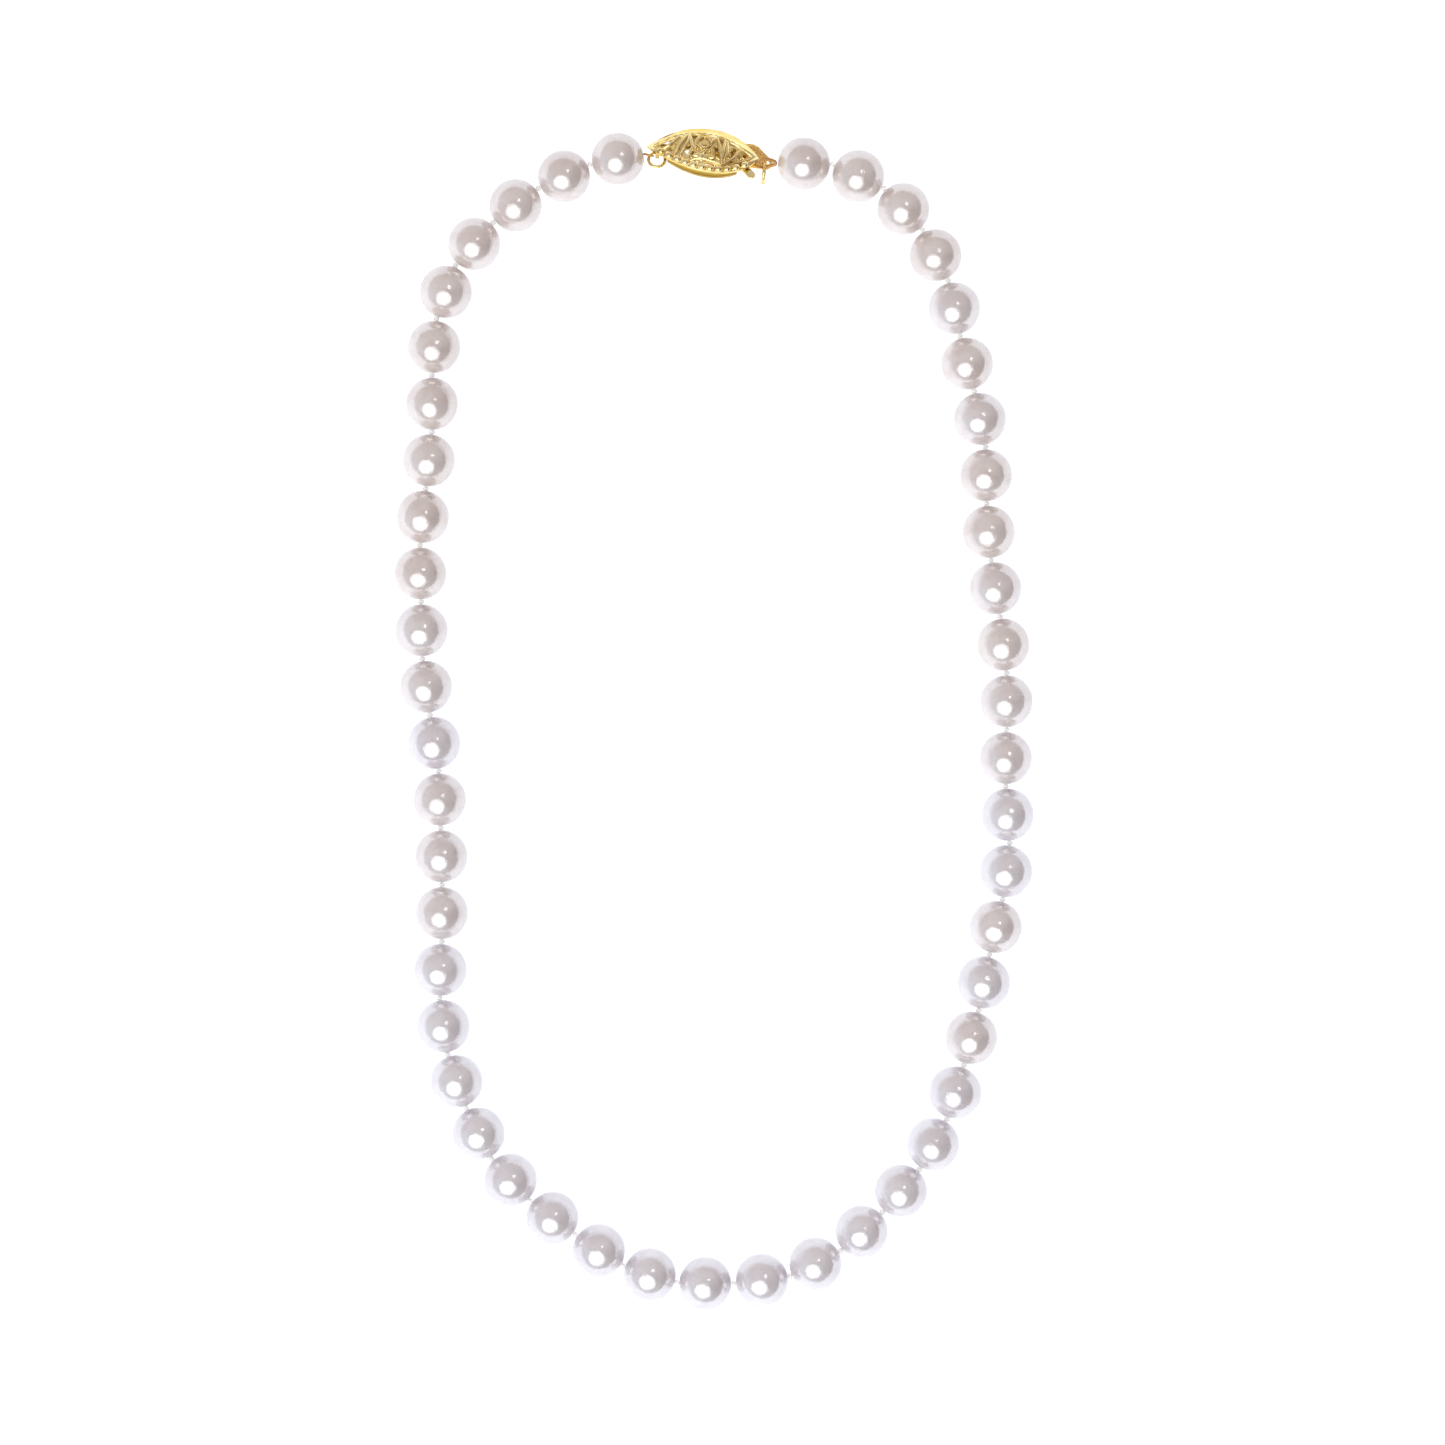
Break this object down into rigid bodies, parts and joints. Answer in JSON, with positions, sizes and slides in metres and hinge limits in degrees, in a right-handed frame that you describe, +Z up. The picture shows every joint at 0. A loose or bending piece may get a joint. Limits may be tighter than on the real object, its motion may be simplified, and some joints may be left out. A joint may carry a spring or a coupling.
{
  "type": "pearl necklace",
  "caption": "Princess-length strand of round white pearls knotted on silk, closed by a pointed oval gold filigree clasp with a sprung tongue, thumb tab and two rings.",
  "frame": {"origin": "centre of the loop's bounding box, on the surface it lies on", "axes": "+Z up from the surface, +Y towards the clasp, +X towards the clasp's hook end"},
  "size_m": [0.1, 0.1854, 0.0083],
  "materials": {
    "nacre": "lustrous nacre",
    "gold": "polished yellow gold",
    "french_wire_gold": "coiled fine wire",
    "silk": "twisted silk"
  },
  "bodies": {
    "left_strand": {"clasp_back": "gold", "clasp_case": "gold", "clasp_front": "gold", "clasp_crossbar": "gold", "french_wire_left": "french_wire_gold", "silk_thread": "silk", "pearl_01": "nacre", "pearl_02": "nacre", "pearl_03": "nacre", "pearl_04": "nacre", "pearl_05": "nacre", "pearl_06": "nacre", "pearl_07": "nacre", "pearl_08": "nacre", "pearl_09": "nacre", "pearl_10": "nacre", "pearl_11": "nacre", "pearl_12": "nacre", "pearl_13": "nacre", "pearl_14": "nacre", "pearl_15": "nacre", "pearl_16": "nacre", "pearl_17": "nacre", "pearl_18": "nacre", "pearl_19": "nacre", "pearl_20": "nacre"},
    "end_ring": {"end_ring": "gold"},
    "pearl_21": {"pearl_21": "nacre"},
    "pearl_22": {"pearl_22": "nacre"},
    "pearl_23": {"pearl_23": "nacre"},
    "pearl_24": {"pearl_24": "nacre"},
    "right_strand": {"hook_plate": "gold", "french_wire_right": "french_wire_gold", "pearl_25": "nacre", "pearl_26": "nacre", "pearl_27": "nacre", "pearl_28": "nacre", "pearl_29": "nacre", "pearl_30": "nacre", "pearl_31": "nacre", "pearl_32": "nacre", "pearl_33": "nacre", "pearl_34": "nacre", "pearl_35": "nacre", "pearl_36": "nacre", "pearl_37": "nacre", "pearl_38": "nacre", "pearl_39": "nacre", "pearl_40": "nacre", "pearl_41": "nacre", "pearl_42": "nacre", "pearl_43": "nacre", "pearl_44": "nacre", "pearl_45": "nacre", "pearl_46": "nacre", "pearl_47": "nacre", "pearl_48": "nacre", "pearl_49": "nacre"},
    "hook_ring": {"hook_ring": "gold"},
    "thumb_leaf": {"hook_spring": "gold"}
  },
  "joints": [
    {"name": "open_at_knot_20", "type": "hinge", "parent": "left_strand", "child": "pearl_21", "pos_m": [-0.03487, -0.06915, 0.00415], "axis": [0, 0, -1], "range_deg": [0, 45], "deforming": ["silk_thread", "hook_spring"]},
    {"name": "open_at_knot_21", "type": "hinge", "parent": "pearl_21", "child": "pearl_22", "pos_m": [-0.02889, -0.07573, 0.00415], "axis": [0, 0, -1], "range_deg": [0, 45], "deforming": ["silk_thread", "hook_spring"]},
    {"name": "open_at_knot_22", "type": "hinge", "parent": "pearl_22", "child": "pearl_23", "pos_m": [-0.02174, -0.08104, 0.00415], "axis": [0, 0, -1], "range_deg": [0, 45], "deforming": ["silk_thread", "hook_spring"]},
    {"name": "open_at_knot_23", "type": "hinge", "parent": "pearl_23", "child": "pearl_24", "pos_m": [-0.0143, -0.08593, 0.00415], "axis": [0, 0, -1], "range_deg": [0, 45], "deforming": ["silk_thread", "hook_spring"]},
    {"name": "open_at_knot_24", "type": "hinge", "parent": "pearl_24", "child": "right_strand", "pos_m": [-0.00581, -0.08858, 0.00415], "axis": [0, 0, -1], "range_deg": [0, 45], "deforming": ["silk_thread", "hook_spring"]},
    {"name": "end_ring_turn", "type": "hinge", "parent": "left_strand", "child": "end_ring", "pos_m": [-0.00897, 0.08751, 0.00314], "axis": [0.0467, 0.404, 0.9135], "continuous": true},
    {"name": "hook_ring_turn", "type": "hinge", "parent": "right_strand", "child": "hook_ring", "pos_m": [0.00786, 0.08556, 0.00276], "axis": [0.9934, -0.1149, 0], "continuous": true},
    {"name": "thumb_tab_press", "type": "hinge", "parent": "right_strand", "child": "thumb_leaf", "pos_m": [-0.00269, 0.08835, 0.00294], "axis": [0.105, 0.9075, -0.4067], "range_deg": [0, 3.2], "stiffness_Nm_per_rad": 0.07}
  ]
}
